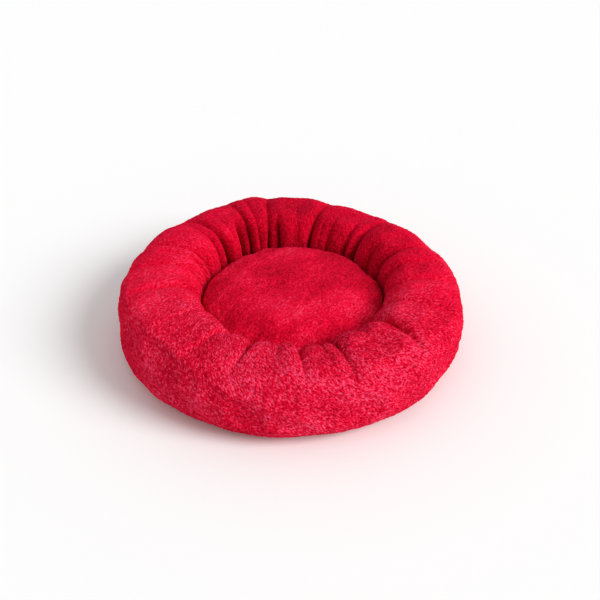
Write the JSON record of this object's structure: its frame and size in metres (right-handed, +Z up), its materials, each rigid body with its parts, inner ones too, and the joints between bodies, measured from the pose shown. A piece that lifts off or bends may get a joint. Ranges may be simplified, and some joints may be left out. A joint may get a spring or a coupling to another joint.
{
  "type": "pet cushion bed",
  "caption": "Round plush pet bed: a stuffed ring, gathered round a shallow well, with a loose crowned cushion in the well.",
  "frame": {"origin": "on the surface that the bed stands on, under the middle of the ring", "axes": "+Z up out of the well; +X along the zip under the cushion, towards its closed end; +Y towards the back"},
  "size_m": [0.6, 0.6, 0.13],
  "materials": {
    "plush": "short deep-pile crimson plush",
    "lining": "crimson knitted lining",
    "floor": "crimson brushed cloth",
    "base": "black woven cloth with grip dots",
    "wadding": "white needled wadding",
    "fibre": "white loose polyester fibre",
    "tape": "crimson woven tape",
    "zip_tape": "crimson woven zip tape",
    "zip_coil": "crimson nylon",
    "metal": "satin"
  },
  "bodies": {
    "bed": {"base_panel": "base", "floor_wadding": "wadding", "floor_panel": "floor", "bolster_cover": "plush", "bolster_fill": "fibre", "gather_tape": "tape"},
    "cushion": {"cushion_top_panel": "plush", "cushion_fill": "fibre", "cushion_lower_panel_front": "lining", "cushion_lower_panel_back": "lining", "zip_tape_front": "zip_tape", "zip_tape_back": "zip_tape", "zip_coil_front": "zip_coil", "zip_coil_back": "zip_coil", "zip_top_stop": "metal", "zip_bottom_stop": "metal"},
    "slider": {"zip_slider": "metal"}
  },
  "joints": [
    {"name": "cushion_lift", "type": "slide", "parent": "bed", "child": "cushion", "axis": [0, 0, 1], "range_m": [0, 0.18]},
    {"name": "zip_slide", "type": "slide", "parent": "cushion", "child": "slider", "axis": [-1, 0, 0], "range_m": [0, 0.224]}
  ]
}
